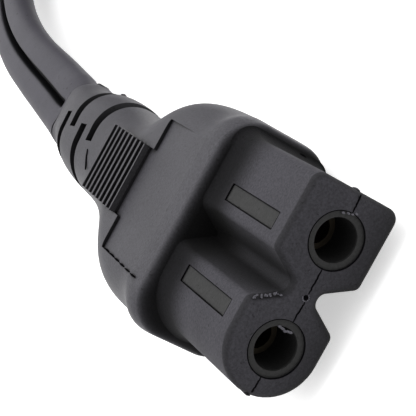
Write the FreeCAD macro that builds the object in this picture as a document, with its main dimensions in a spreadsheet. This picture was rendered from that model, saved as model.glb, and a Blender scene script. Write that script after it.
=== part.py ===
"""Figure-eight power connector, polarised, moulded on a flat twin lead.

The connector's own pieces are drawn from the mating face: +X towards the squared lobe,
+Y back along the lead, Z = 0 on the mould's parting plane. They are then placed so that
the connector lies on the flat of its underside with the origin at the middle of its
footprint. Everything is in millimetres and degrees.
"""
import FreeCAD
import Part
import math
import os
import Sketcher

# Driving sizes: name, value and what it measures.
SIZE_TABLE = [
    ("pin_pitch", 8.6, "distance between the two contact axes"),
    ("pin_bore_radius", 1.22, "bore of a contact sleeve, for a 2.4 mm pin"),
    ("connector_length", 56.0, "mating face to the end of the strain relief"),
    ("overrun", 1.0, "how far a cutting outline reaches past the material"),
    ("nose_half_height", 3.8, "half height of the nose, radius of its round end"),
    ("square_trim", 0.05, "how much less far the squared lobe reaches than the round one"),
    ("nose_half_width", "=pin_pitch / 2 + nose_half_height - square_trim", "reach of the squared lobe"),
    ("nose_corner", 0.9, "corners of the squared lobe"),
    ("nose_edge", 0.7, "rounded edge of the mating face"),
    ("notch_half_angle", 30.0, "slope of each waist notch's sides"),
    ("notch_fillet", 0.7, "round at the bottom of a waist notch"),
    ("notch_lip", 0.6, "round at the top of a waist notch's sides"),
    ("waist_half", 1.25, "half thickness between the notches"),
    ("head_front", 13.0, "front wall of the head"),
    ("head_bulge", 17.0, "fullest section of the head"),
    ("head_step", 1.35, "how far the head stands out beyond the nose at each end"),
    ("head_rise", 1.35, "how far the head stands out above and below the nose"),
    ("head_bulge_half_width", "=nose_half_width + head_step", "head at its fullest"),
    ("head_bulge_half_height", "=nose_half_height + head_rise", "head at its fullest"),
    ("underside_trim", 0.1, "depth of the flat that the head rests on"),
    ("rest_height", "=head_bulge_half_height - underside_trim", "underside flat to the parting plane"),
    ("head_front_draw", 0.25, "how much narrower the head is at its front wall"),
    ("head_front_dip", 0.15, "how much lower the head is at its front wall"),
    ("head_front_half_width", "=head_bulge_half_width - head_front_draw", "head at its front wall"),
    ("head_front_half_height", "=head_bulge_half_height - head_front_dip", "head at its front wall"),
    ("head_back", 21.5, "where the head starts to draw in"),
    ("head_back_draw", 0.1, "how much narrower the head is there"),
    ("head_back_half_width", "=head_bulge_half_width - head_back_draw", "head where it draws in"),
    ("head_back_half_height", "=head_bulge_half_height", "head where it draws in"),
    ("shoulder", 26.0, "upper part of the sloping shoulders"),
    ("shoulder_draw", 0.95, "how much narrower the shoulders are than the head"),
    ("shoulder_dip", 0.15, "how much lower the shoulders are than the head"),
    ("shoulder_half_width", "=head_bulge_half_width - shoulder_draw", "upper part of the shoulders"),
    ("shoulder_half_height", "=head_bulge_half_height - shoulder_dip", "upper part of the shoulders"),
    ("collar", 29.7, "lower part of the shoulders"),
    ("collar_half_width", 6.9, "lower part of the shoulders"),
    ("collar_half_height", 4.7, "lower part of the shoulders"),
    ("neck", 33.5, "start of the strain relief"),
    ("neck_half_width", 5.4, "strain relief at its start"),
    ("neck_half_height", 4.45, "strain relief at its start"),
    ("relief_run", "=connector_length - neck", "length of the strain relief"),
    ("barrel_share", 0.3333, "place of the first slot along the strain relief"),
    ("barrel", "=neck + barrel_share * relief_run", "first slot of the strain relief"),
    ("barrel_half_width", 5.0, "strain relief at its first slot"),
    ("barrel_half_height", 4.3, "strain relief at its first slot"),
    ("barrel_swing", 0.6, "sideways flex there"),
    ("barrel_lift", 0.0, "upward flex there"),
    ("relief_mid_share", 0.6, "place of the third slot along the strain relief"),
    ("relief_mid", "=neck + relief_mid_share * relief_run", "third slot of the strain relief"),
    ("relief_mid_half_width", 4.85, "strain relief at its third slot"),
    ("relief_mid_half_height", 4.15, "strain relief at its third slot"),
    ("relief_mid_swing", 0.85, "sideways flex there"),
    ("relief_mid_lift", 0.15, "upward flex there"),
    ("relief_tip_share", 0.8222, "place of the last ring along the strain relief"),
    ("relief_tip", "=neck + relief_tip_share * relief_run", "last ring of the strain relief"),
    ("relief_tip_half_width", 4.1, "strain relief at its last ring"),
    ("relief_tip_half_height", 3.4, "strain relief at its last ring"),
    ("relief_tip_swing", 1.1, "sideways flex there"),
    ("relief_tip_lift", 0.45, "upward flex there"),
    ("relief_end_half_width", 3.6, "strain relief where the lead leaves it"),
    ("relief_end_half_height", 2.0, "strain relief where the lead leaves it"),
    ("relief_end_swing", 1.3, "sideways flex where the lead leaves"),
    ("relief_end_lift", 0.9, "upward flex where the lead leaves"),
    ("head_roundness", 0.76, "corner radius of the head's sections over their half height"),
    ("relief_roundness", 0.95, "the same for the strain relief's sections"),
    ("head_edge", 1.0, "round along the head's front wall"),
    ("panel_back", 24.2, "rear step of the label panel"),
    ("panel_half_width", 6.05, "label panel"),
    ("panel_depth", 0.35, "label panel at its rear step"),
    ("panel_floor", "=head_bulge_half_height - panel_depth", "panel's floor at its rear step"),
    ("panel_slope", 2.5, "slope of the panel's floor, so that it runs out at the front"),
    ("grip_root", 1.0, "foot of the grip inside the neck"),
    ("grip_half_width", 3.15, "ribbed grip"),
    ("grip_gap", 1.1, "trench between the label panel and the grip"),
    ("grip_length", 9.8, "ribbed grip"),
    ("grip_rise", 0.35, "how far the grip stands above the head"),
    ("grip_top", "=head_bulge_half_height + grip_rise", "ribbed grip at its front"),
    ("grip_slope", 3.0, "fall of the grip's top towards the lead"),
    ("grip_step", 0.15, "lean of the grip's front face"),
    ("rib_count", 8.0, "grooves across the grip"),
    ("rib_pitch", 1.2, "spacing of the grooves"),
    ("groove_width", 0.8, "width of a groove"),
    ("groove_depth", 0.55, "depth of a groove"),
    ("slot_pitch", 2.95, "spacing of the strain relief's slots"),
    ("slot_width", 1.5, "width of a slot"),
    ("slot_depth", 1.3, "depth of a slot"),
    ("slot_tilt", 8.0, "lean of the slots on the flexed strain relief"),
    ("slot_end_square_side", 0.1, "how far past the middle the slots on the +X side reach"),
    ("slot_end_round_side", 0.9, "how far past the middle the slots on the -X side reach"),
    ("carrier_front", 1.5, "front of the contact carrier's barrels"),
    ("carrier_back", 16.0, "back of the contact carrier"),
    ("carrier_barrel_radius", 2.75, "barrels of the contact carrier"),
    ("carrier_web_half", 0.75, "web between the barrels"),
    ("ring_radius", 2.17, "carrier's ring that shows round each contact"),
    ("ring_recess", 0.15, "ring's face behind the mating face"),
    ("entry_radius", 1.67, "pin hole in the carrier"),
    ("window_middle", 3.46, "middle of a window from the middle of the nose"),
    ("window_half_width", 0.69, "window"),
    ("window_front", 2.15, "front end of a window"),
    ("window_back", 10.65, "rear end of a window"),
    ("window_recess", 0.12, "window's floor below the nose's flat"),
    ("sleeve_front", 3.6, "mouth of a contact sleeve"),
    ("sleeve_length", 9.2, "round part of a contact sleeve"),
    ("sleeve_wall", 0.43, "strip that the sleeve is rolled from"),
    ("crimp_length", 4.4, "crimped tail of a contact"),
    ("strand_radius", 0.72, "bared strands in the crimp"),
    ("strand_bare", 0.6, "bared strands between crimp and insulation"),
    ("core_radius", 1.6, "insulated core of the lead"),
    ("core_gap", 0.35, "gap between the cores inside the strain relief"),
    ("core_bend", 21.0, "where the cores start to close up"),
    ("lead_half_width", 3.5, "flat twin lead"),
    ("lead_half_height", 1.8, "flat twin lead"),
    ("coil_radius", 31.55, "middle of the coil's turns"),
    ("coil_half_width", 9.75, "bundle of turns, across"),
    ("coil_half_height", 7.4, "bundle of turns, upright"),
    ("coil_round", 2.4, "corners of the bundle"),
    ("coil_x", 56.0, "middle of the coil"),
    ("coil_y", 92.0, "middle of the coil"),
    ("coil_entry", 15.0, "where the lead joins the coil, past its -X side"),
    ("tie_wall", 0.9, "strap round the coil"),
    ("tie_angle", 12.0, "width of the strap as an angle at the coil's middle"),
    ("tie_bearing", 75.0, "place of the strap round the coil"),
    ("blade_pitch", 12.7, "distance between the plug's blades"),
    ("blade_thickness", 1.5, "blade"),
    ("blade_length", 17.0, "blade, from the plug's face"),
    ("blade_root", 9.0, "blade inside the plug"),
    ("blade_tip", 1.2, "bevel at a blade's tip"),
    ("blade_hole_radius", 1.6, "hole near a blade's tip"),
    ("blade_hole_back", 5.0, "hole's middle from the tip"),
    ("narrow_blade_half", 3.175, "half width of the narrow blade"),
    ("wide_blade_half", 3.97, "half width of the wide blade"),
    ("plug_face_half_width", 10.6, "plug at its face"),
    ("plug_face_half_height", 6.2, "plug at its face"),
    ("plug_rim", 4.0, "straight stretch behind the plug's face"),
    ("plug_waist", 13.0, "finger hollow of the plug"),
    ("plug_waist_half_width", 9.2, "plug at its finger hollow"),
    ("plug_waist_half_height", 5.6, "plug at its finger hollow"),
    ("plug_shoulder", 22.0, "end of the plug's grip"),
    ("plug_shoulder_half_width", 9.0, "end of the plug's grip"),
    ("plug_shoulder_half_height", 5.7, "end of the plug's grip"),
    ("plug_neck", 27.0, "start of the plug's strain relief"),
    ("plug_neck_half_width", 5.2, "plug's strain relief at its start"),
    ("plug_neck_half_height", 4.0, "plug's strain relief at its start"),
    ("plug_length", 44.0, "face to the end of the plug's strain relief"),
    ("plug_end_half_width", 4.1, "plug's strain relief at its end"),
    ("plug_end_half_height", 2.4, "plug's strain relief at its end"),
    ("plug_roundness", 0.45, "corner radius of the plug's sections over their half height"),
    ("plug_edge", 0.8, "round along the plug's face"),
    ("plug_x", 92.0, "plug's axis beside the coil"),
    ("plug_entry_y", 46.0, "where the lead enters the plug"),
]

# The lead's route, chosen by hand: from the strain relief to the coil, and from the coil
# to the plug. The first and last points come from the pieces that the lead joins.
ROUTE_TO_COIL = [(2.3, 37.0, 6.35), (3.4, 47.5, 6.45), (4.8, 58.5, 6.1), (7.1, 70.0, 5.4),
                 (10.6, 81.0, 4.7), (14.3, 91.7, 4.4)]
ROUTE_TO_PLUG = [(92.9, 53.5, 7.0), (94.3, 62.0, 8.8), (95.4, 71.5, 10.8), (95.7, 82.0, 12.05)]
ARC_SHARE = 0.45      # share of the shorter run that an arc of the route takes up
LEAST_STEP = 0.1      # edges of two pieces of an outline lie further apart than this

doc = FreeCAD.newDocument("figure_eight_lead")
sheet = doc.addObject("Spreadsheet::Sheet", "Sizes")
for row, (name, value, note) in enumerate(SIZE_TABLE, start=1):
    sheet.set(f"A{row}", name)
    sheet.set(f"B{row}", str(value))
    sheet.set(f"C{row}", note)
    sheet.setAlias(f"B{row}", name)
doc.recompute()


def size(name):
    """Present value of a named size."""
    return float(sheet.get(name))


def bind(target, prop, expression):
    """Tie a property to an expression in the sheet's names, written with a leading @."""
    target.setExpression(prop, expression.replace("@", "Sizes."))


def new_body(label):
    body = doc.addObject("PartDesign::Body", label)
    body.Label = label
    return body


def seat_on_mating_frame(body):
    """Put a piece drawn from the mating face into the connector's resting frame."""
    bind(body, "Placement.Base.y", "-@connector_length / 2")
    bind(body, "Placement.Base.z", "@rest_height")


def seat_on_plug(body):
    """Put a piece drawn from the plug's face where the plug lies."""
    bind(body, "Placement.Base.x", "@plug_x")
    bind(body, "Placement.Base.y", "@plug_entry_y - @plug_length")
    bind(body, "Placement.Base.z", "@plug_face_half_height")


def new_sketch(body, name, role, offset="0"):
    """Sketch on one of the body's own planes, moved along that plane's normal."""
    support = next(item for item in body.Origin.OriginFeatures if item.Role == role)
    sketch = body.newObject("Sketcher::SketchObject", name)
    sketch.AttachmentSupport = [(support, "")]
    sketch.MapMode = "FlatFace"
    bind(sketch, "AttachmentOffset.Base.z", offset)
    return sketch


def dimension(sketch, name, expression, kind, *where):
    """Add one named driving dimension and tie it to the sheet."""
    index = sketch.addConstraint(Sketcher.Constraint(kind, *where))
    sketch.renameConstraint(index, name)
    bind(sketch, "Constraints." + name, expression)


def offset_dimension(sketch, name, expression, kind, geometry, point, value):
    """Driving distance of a point from the sketch's origin, on either side of it."""
    if value < 0:
        dimension(sketch, name, f"-({expression})", kind, geometry, point, -1, 1, -value)
    else:
        dimension(sketch, name, expression, kind, -1, 1, geometry, point, value)


def line(sketch, start, end):
    return sketch.addGeometry(Part.LineSegment(FreeCAD.Vector(*start, 0), FreeCAD.Vector(*end, 0)))


def arc(sketch, middle, radius, start, end):
    """Arc drawn counterclockwise between two angles in degrees."""
    circle = Part.Circle(FreeCAD.Vector(*middle, 0), FreeCAD.Vector(0, 0, 1), radius)
    return sketch.addGeometry(Part.ArcOfCircle(circle, math.radians(start), math.radians(end)))


def chain(sketch, kinds, first=0):
    """Join consecutive pieces of a closed outline, tangent (T) or at a corner (C)."""
    words = {"T": "Tangent", "C": "Coincident"}
    for index, kind in enumerate(kinds):
        following = first + (index + 1) % len(kinds)
        sketch.addConstraint(Sketcher.Constraint(words[kind], first + index, 2, following, 1))


def oblong(sketch, right, left, top, low, radius, sizes, mark=""):
    """Rounded oblong; the first arguments are expressions, sizes their present values."""
    x1, x0, z1, z0, r = sizes
    first = line(sketch, (x0 + r, z0), (x1 - r, z0))
    arc(sketch, (x1 - r, z0 + r), r, 270, 360)
    line(sketch, (x1, z0 + r), (x1, z1 - r))
    arc(sketch, (x1 - r, z1 - r), r, 0, 90)
    line(sketch, (x1 - r, z1), (x0 + r, z1))
    arc(sketch, (x0 + r, z1 - r), r, 90, 180)
    line(sketch, (x0, z1 - r), (x0, z0 + r))
    arc(sketch, (x0 + r, z0 + r), r, 180, 270)
    chain(sketch, "TTTTTTTT", first)
    for flat in (first, first + 4):
        sketch.addConstraint(Sketcher.Constraint("Horizontal", flat))
    for upright in (first + 2, first + 6):
        sketch.addConstraint(Sketcher.Constraint("Vertical", upright))
    for corner in (first + 1, first + 3, first + 5):
        sketch.addConstraint(Sketcher.Constraint("Equal", corner, corner + 2))
    dimension(sketch, mark + "corner", radius, "Radius", first + 1, r)
    offset_dimension(sketch, mark + "right", right, "DistanceX", first + 2, 1, x1)
    offset_dimension(sketch, mark + "left", left, "DistanceX", first + 6, 1, x0)
    offset_dimension(sketch, mark + "top", top, "DistanceY", first + 4, 1, z1)
    offset_dimension(sketch, mark + "low", low, "DistanceY", first, 1, z0)


def cross_section(body, at, stem, roundness, flexed=False):
    """Oblong section across the axis, sized by the names that begin with its stem."""
    sketch = new_sketch(body, f"section_{stem}", "XZ_Plane", f"-({at})")
    width, height = f"{stem}_half_width", f"{stem}_half_height"
    swing = size(f"{stem}_swing") if flexed else 0
    lift = size(f"{stem}_lift") if flexed else 0
    aside = f"@{stem}_swing" if flexed else "0"
    up = f"@{stem}_lift" if flexed else "0"
    values = (swing + size(width), swing - size(width), lift + size(height), lift - size(height),
              size(height) * size(roundness))
    oblong(sketch, f"{aside} + @{width}", f"{aside} - @{width}", f"{up} + @{height}",
           f"{up} - @{height}", f"@{height} * @{roundness}", values)
    return sketch


def circle_section(body, name, at, radius, aside, up, guess):
    """Round section across the axis; guess holds the present radius and middle."""
    sketch = new_sketch(body, name, "XZ_Plane", f"-({at})")
    middle = FreeCAD.Vector(guess[1], guess[2], 0)
    sketch.addGeometry(Part.Circle(middle, FreeCAD.Vector(0, 0, 1), guess[0]))
    dimension(sketch, "radius", radius, "Radius", 0, guess[0])
    offset_dimension(sketch, "aside", aside, "DistanceX", 0, 3, guess[1])
    offset_dimension(sketch, "up", up, "DistanceY", 0, 3, guess[2])
    return sketch


def loft(body, name, sections):
    feature = body.newObject("PartDesign::AdditiveLoft", name)
    feature.Profile = sections[0]
    feature.Sections = sections[1:]
    return feature


def extrude(body, kind, name, sketch, length, symmetric=False, backwards=False):
    feature = body.newObject("PartDesign::" + kind, name)
    feature.Profile = sketch
    bind(feature, "Length", length)
    feature.Midplane = symmetric
    feature.Reversed = backwards
    return feature


def round_edges(body, name, radius, chosen):
    """Round the edges of the body's tip for which chosen(edge) is true."""
    doc.recompute()
    base = body.Tip
    names = [f"Edge{index}" for index, edge in enumerate(base.Shape.Edges, start=1) if chosen(edge)]
    feature = body.newObject("PartDesign::Fillet", name)
    feature.Base = (base, names)
    bind(feature, "Radius", radius)
    doc.recompute()
    return feature


def lies_at(edge, y, tolerance=1e-4):
    """True where the whole edge lies in the cross plane at y of the body's own frame."""
    box = edge.BoundBox
    return abs(box.YMin - y) < tolerance and abs(box.YMax - y) < tolerance


def nose_outline(sketch):
    """One end a half circle round its contact, the other squared with small corners."""
    h, w, r = size("nose_half_height"), size("nose_half_width"), size("nose_corner")
    left = -size("pin_pitch") / 2
    line(sketch, (left, -h), (w - r, -h))
    arc(sketch, (w - r, r - h), r, 270, 360)
    line(sketch, (w, r - h), (w, h - r))
    arc(sketch, (w - r, h - r), r, 0, 90)
    line(sketch, (w - r, h), (left, h))
    arc(sketch, (left, 0), h, 90, 270)
    chain(sketch, "TTTTTT")
    sketch.addConstraint(Sketcher.Constraint("Horizontal", 0))
    sketch.addConstraint(Sketcher.Constraint("Horizontal", 4))
    sketch.addConstraint(Sketcher.Constraint("Vertical", 2))
    sketch.addConstraint(Sketcher.Constraint("Equal", 1, 3))
    sketch.addConstraint(Sketcher.Constraint("PointOnObject", 5, 3, -1))
    dimension(sketch, "corner", "@nose_corner", "Radius", 1, r)
    dimension(sketch, "round_end", "@nose_half_height", "Radius", 5, h)
    dimension(sketch, "round_middle", "@pin_pitch / 2", "DistanceX", 5, 3, -1, 1, -left)
    dimension(sketch, "side", "@nose_half_width", "DistanceX", -1, 1, 2, 1, w)


def notch_outline(sketch):
    """V with a rounded bottom, open above the nose."""
    lean, r = math.radians(size("notch_half_angle")), size("notch_fillet")
    middle, top = size("waist_half") + r, size("nose_half_height") + r
    foot = (r * math.cos(lean), middle - r * math.sin(lean))
    reach = foot[0] + (top - foot[1]) * math.tan(lean)
    line(sketch, foot, (reach, top))
    line(sketch, (reach, top), (-reach, top))
    line(sketch, (-reach, top), (-foot[0], foot[1]))
    arc(sketch, (0, middle), r, 180 + math.degrees(lean), 360 - math.degrees(lean))
    chain(sketch, "CCTT")
    sketch.addConstraint(Sketcher.Constraint("PointOnObject", 3, 3, -2))
    sketch.addConstraint(Sketcher.Constraint("Symmetric", 1, 1, 1, 2, -2))
    dimension(sketch, "bottom", "@notch_fillet", "Radius", 3, r)
    dimension(sketch, "lean", "90 - @notch_half_angle", "Angle", 0, math.pi / 2 - lean)
    dimension(sketch, "waist", "@waist_half + @notch_fillet", "DistanceY", -1, 1, 3, 3, middle)
    dimension(sketch, "open", "@nose_half_height + @notch_fillet", "DistanceY", -1, 1, 1, 1, top)


def polygon(sketch, points, dimensions):
    """Closed outline of straight sides. Each point has an expression pair in dimensions."""
    count = len(points)
    for index in range(count):
        line(sketch, points[index], points[(index + 1) % count])
    chain(sketch, "C" * count)
    for index, (across, up) in enumerate(dimensions):
        offset_dimension(sketch, f"across{index}", across, "DistanceX", index, 1, points[index][0])
        offset_dimension(sketch, f"up{index}", up, "DistanceY", index, 1, points[index][1])


def grip_profile(sketch):
    """Side view of the grip: leaning front face, top that falls towards the lead."""
    front, top, length = size("panel_back") + size("grip_gap"), size("grip_top"), size("grip_length")
    fall = length * math.tan(math.radians(size("grip_slope")))
    start = "@panel_back + @grip_gap"
    polygon(sketch,
            [(front, size("grip_root")), (front, size("panel_floor")), (front + size("grip_step"), top),
             (front + length, top - fall), (front + length, size("grip_root"))],
            [(start, "@grip_root"), (start, "@panel_floor"), (f"{start} + @grip_step", "@grip_top"),
             (f"{start} + @grip_length", "@grip_top - @grip_length * tan(@grip_slope)"),
             (f"{start} + @grip_length", "@grip_root")])


def trench_profile(sketch):
    """Side view of the trench between the label panel and the grip."""
    front, gap, floor = size("panel_back"), size("grip_gap"), size("panel_floor")
    above = size("grip_top") + size("overrun")
    polygon(sketch,
            [(front, floor), (front + gap, floor), (front + gap, above), (front, above)],
            [("@panel_back", "@panel_floor"), ("@panel_back + @grip_gap", "@panel_floor"),
             ("@panel_back + @grip_gap", "@grip_top + @overrun"), ("@panel_back", "@grip_top + @overrun")])


def groove_profile(sketch, index):
    """Side view of one groove across the grip; a rib as wide as the rest of the pitch lies before it."""
    land = size("rib_pitch") - size("groove_width")
    past = land + index * size("rib_pitch")
    start = size("panel_back") + size("grip_gap") + past
    past_name = f"((@rib_pitch - @groove_width) + {index} * @rib_pitch)"
    along = f"@panel_back + @grip_gap + {past_name}"
    sunk = size("grip_top") - size("groove_depth") - past * math.tan(math.radians(size("grip_slope")))
    floor = f"@grip_top - @groove_depth - {past_name} * tan(@grip_slope)"
    wide, above = size("groove_width"), size("grip_top") + size("overrun")
    polygon(sketch,
            [(start, sunk), (start + wide, sunk), (start + wide, above), (start, above)],
            [(along, floor), (f"{along} + @groove_width", floor),
             (f"{along} + @groove_width", "@grip_top + @overrun"), (along, "@grip_top + @overrun")])


def panel_profile(sketch):
    """Side view of the label panel: a step at the rear, floor running out at the front."""
    back, front, floor = size("panel_back"), size("head_front"), size("panel_floor")
    rise = (back - front) * math.tan(math.radians(size("panel_slope")))
    above = size("grip_top") + size("overrun")
    polygon(sketch,
            [(back, floor), (back, above), (front, above), (front, floor + rise)],
            [("@panel_back", "@panel_floor"), ("@panel_back", "@grip_top + @overrun"),
             ("@head_front", "@grip_top + @overrun"),
             ("@head_front", "@panel_floor + (@panel_back - @head_front) * tan(@panel_slope)")])


def slot_outline(sketch, side, reach):
    """Slot round one side of the strain relief, leaving the core in its middle."""
    core = size("barrel_half_height") - size("slot_depth")
    start = size("barrel_half_width") - size("slot_depth") - core
    wide = size("neck_half_width") + size("overrun")
    tall = size("neck_half_height") + size("overrun")
    inner = size(reach)
    corners = [(-inner, core), (-inner, tall), (wide, tall), (wide, -tall), (-inner, -tall),
               (-inner, -core), (start, -core)]
    for first, second in zip(corners, corners[1:]):
        line(sketch, (side * first[0], first[1]), (side * second[0], second[1]))
    if side > 0:
        arc(sketch, (start, 0), core, 270, 450)
    else:
        arc(sketch, (-start, 0), core, 90, 270)
    line(sketch, (side * start, core), (-side * inner, core))
    for index in range(5):
        sketch.addConstraint(Sketcher.Constraint("Coincident", index, 2, index + 1, 1))
    first_end, second_end = (1, 2) if side > 0 else (2, 1)
    sketch.addConstraint(Sketcher.Constraint("Tangent", 5, 2, 6, first_end))
    sketch.addConstraint(Sketcher.Constraint("Tangent", 7, 1, 6, second_end))
    sketch.addConstraint(Sketcher.Constraint("Coincident", 7, 2, 0, 1))
    for upright in (0, 4):
        sketch.addConstraint(Sketcher.Constraint("Vertical", upright))
    for flat in (1, 3, 5, 7):
        sketch.addConstraint(Sketcher.Constraint("Horizontal", flat))
    sketch.addConstraint(Sketcher.Constraint("PointOnObject", 6, 3, -1))
    sketch.addConstraint(Sketcher.Constraint("Symmetric", 1, 2, 2, 2, -1))
    sketch.addConstraint(Sketcher.Constraint("Vertical", 0, 1, 4, 1))
    dimension(sketch, "core", "@barrel_half_height - @slot_depth", "Radius", 6, core)
    outward = (-1, 1, 6, 3) if side > 0 else (6, 3, -1, 1)
    dimension(sketch, "core_middle", "@barrel_half_width - @barrel_half_height", "DistanceX",
              *outward, start)
    past = (0, 1, -1, 1) if side > 0 else (-1, 1, 0, 1)
    dimension(sketch, "past_middle", "@" + reach, "DistanceX", *past, inner)
    clear = (-1, 1, 1, 2) if side > 0 else (1, 2, -1, 1)
    dimension(sketch, "clear_side", "@neck_half_width + @overrun", "DistanceX", *clear, wide)
    dimension(sketch, "clear_top", "@neck_half_height + @overrun", "DistanceY", -1, 1, 1, 2, tall)


def overmould_blank():
    """Nose, head, grip and strain relief of the connector before the inserts are cut out."""
    body = new_body("overmould_blank")
    seat_on_mating_frame(body)
    outline = new_sketch(body, "nose_outline", "XZ_Plane")
    nose_outline(outline)
    extrude(body, "Pad", "nose", outline, "@head_front + @nose_corner", backwards=True)
    notch = new_sketch(body, "notch_outline", "XZ_Plane")
    notch_outline(notch)
    upper = extrude(body, "Pocket", "upper_notch", notch, "@head_front + @nose_corner")
    mirror = body.newObject("PartDesign::Mirrored", "lower_notch")
    mirror.Originals = [upper]
    ground = next(item for item in body.Origin.OriginFeatures if item.Role == "XY_Plane")
    mirror.MirrorPlane = (ground, [""])
    body.Tip = mirror

    top = size("nose_half_height")

    def is_notch_lip(edge):
        box = edge.BoundBox
        straight = box.YLength > size("head_front") / 2 and box.XLength < 1e-3 and box.ZLength < 1e-3
        inside = abs(box.XMin) < size("pin_pitch") / 2 - LEAST_STEP
        return straight and inside and abs(abs(box.ZMin) - top) < 1e-3

    round_edges(body, "notch_lips", "@notch_lip", is_notch_lip)
    round_edges(body, "face_edge", "@nose_edge", lambda edge: lies_at(edge, 0.0))
    sections = [cross_section(body, "@" + at, stem, roundness, flexed)
                for stem, at, roundness, flexed in (
                    ("head_front", "head_front", "head_roundness", False),
                    ("head_bulge", "head_bulge", "head_roundness", False),
                    ("head_back", "head_back", "head_roundness", False),
                    ("shoulder", "shoulder", "head_roundness", False),
                    ("collar", "collar", "relief_roundness", False),
                    ("neck", "neck", "relief_roundness", False),
                    ("barrel", "barrel", "relief_roundness", True),
                    ("relief_mid", "relief_mid", "relief_roundness", True),
                    ("relief_tip", "relief_tip", "relief_roundness", True),
                    ("relief_end", "connector_length", "relief_roundness", True))]
    loft(body, "head_and_relief", sections)

    def is_head_rim(edge):
        box = edge.BoundBox
        outside_nose = max(-box.XMin, box.XMax) > size("nose_half_width") + LEAST_STEP
        above_nose = max(-box.ZMin, box.ZMax) > size("nose_half_height") + LEAST_STEP
        return lies_at(edge, size("head_front")) and (outside_nose or above_nose)

    round_edges(body, "head_edge", "@head_edge", is_head_rim)
    grip = new_sketch(body, "grip_profile", "YZ_Plane")
    grip_profile(grip)
    extrude(body, "Pad", "grip", grip, "2 * @grip_half_width", symmetric=True)
    for index in range(int(size("rib_count"))):
        groove = new_sketch(body, f"groove_profile_{index}", "YZ_Plane")
        groove_profile(groove, index)
        extrude(body, "Pocket", f"groove_{index}", groove, "2 * @grip_half_width", symmetric=True)
    trench = new_sketch(body, "trench_profile", "YZ_Plane")
    trench_profile(trench)
    extrude(body, "Pocket", "grip_trench", trench, "2 * @grip_half_width", symmetric=True)
    panel = new_sketch(body, "panel_profile", "YZ_Plane")
    panel_profile(panel)
    extrude(body, "Pocket", "label_panel", panel, "2 * @panel_half_width", symmetric=True)
    sides = [(1, "slot_end_square_side"), (-1, "slot_end_round_side")] * 2
    for index, (side, reach) in enumerate(sides):
        slot = new_sketch(body, f"slot_outline_{index}", "XZ_Plane",
                          f"-(@barrel + {index} * @slot_pitch - @slot_width / 2)")
        upright = FreeCAD.Rotation(FreeCAD.Vector(0, 1, 0), 1)
        slot.AttachmentOffset = FreeCAD.Placement(FreeCAD.Vector(), upright)
        bind(slot, "AttachmentOffset.Rotation.Angle", "@slot_tilt")
        bind(slot, "AttachmentOffset.Base.x",
             f"@barrel_swing + {index} / 2 * (@relief_mid_swing - @barrel_swing)")
        bind(slot, "AttachmentOffset.Base.y",
             f"@barrel_lift + {index} / 2 * (@relief_mid_lift - @barrel_lift)")
        slot_outline(slot, side, reach)
        extrude(body, "Pocket", f"slot_{index}", slot, "@slot_width")
    underside = new_sketch(body, "underside_outline", "XY_Plane", "-@rest_height")
    over = size("overrun")
    reach = size("head_bulge_half_width") + over
    oblong(underside, "@head_bulge_half_width + @overrun", "-@head_bulge_half_width - @overrun",
           "@neck", "@head_front - @overrun", "@overrun",
           (reach, -reach, size("neck"), size("head_front") - over, over))
    extrude(body, "Pocket", "underside_flat", underside, "@overrun")
    return body


def contact_carrier():
    """Hard insert: two barrels with a web, a ring at each pin hole and pads in the windows."""
    body = new_body("contact_carrier")
    seat_on_mating_frame(body)
    half, r = size("pin_pitch") / 2, size("carrier_barrel_radius")
    for side, name in ((1, "square"), (-1, "round")):
        barrel = circle_section(body, f"barrel_{name}", "@carrier_front", "@carrier_barrel_radius",
                                f"{side} * @pin_pitch / 2", "0", (r, side * half, 0))
        extrude(body, "Pad", f"barrel_pad_{name}", barrel, "@carrier_back - @carrier_front",
                backwards=True)
        if side > 0:
            web = new_sketch(body, "web_outline", "XZ_Plane", "-@carrier_front")
            thick = size("carrier_web_half")
            oblong(web, "@pin_pitch / 2", "-@pin_pitch / 2", "@carrier_web_half", "-@carrier_web_half",
                   "@carrier_web_half / 2", (half, -half, thick, -thick, thick / 2))
            extrude(body, "Pad", "web", web, "@carrier_back - @carrier_front", backwards=True)
    for side, name in ((1, "square"), (-1, "round")):
        ring = circle_section(body, f"ring_{name}", "@ring_recess", "@ring_radius",
                              f"{side} * @pin_pitch / 2", "0", (size("ring_radius"), side * half, 0))
        extrude(body, "Pad", f"ring_pad_{name}", ring, "@carrier_front - @ring_recess", backwards=True)
        pads = new_sketch(body, f"window_{name}", "XZ_Plane", "-@window_front")
        middle, wide = side * size("window_middle"), size("window_half_width")
        reach = size("nose_half_height") - size("window_recess")
        oblong(pads, f"{side} * @window_middle + @window_half_width",
               f"{side} * @window_middle - @window_half_width",
               "@nose_half_height - @window_recess", "@window_recess - @nose_half_height",
               "@window_recess", (middle + wide, middle - wide, reach, -reach, size("window_recess")))
        extrude(body, "Pad", f"window_pad_{name}", pads, "@window_back - @window_front", backwards=True)
    for side, name in ((1, "square"), (-1, "round")):
        hole = circle_section(body, f"entry_{name}", "0", "@entry_radius", f"{side} * @pin_pitch / 2",
                              "0", (size("entry_radius"), side * half, 0))
        extrude(body, "Pocket", f"pin_hole_{name}", hole, "@carrier_back + @overrun")
    return body


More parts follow.
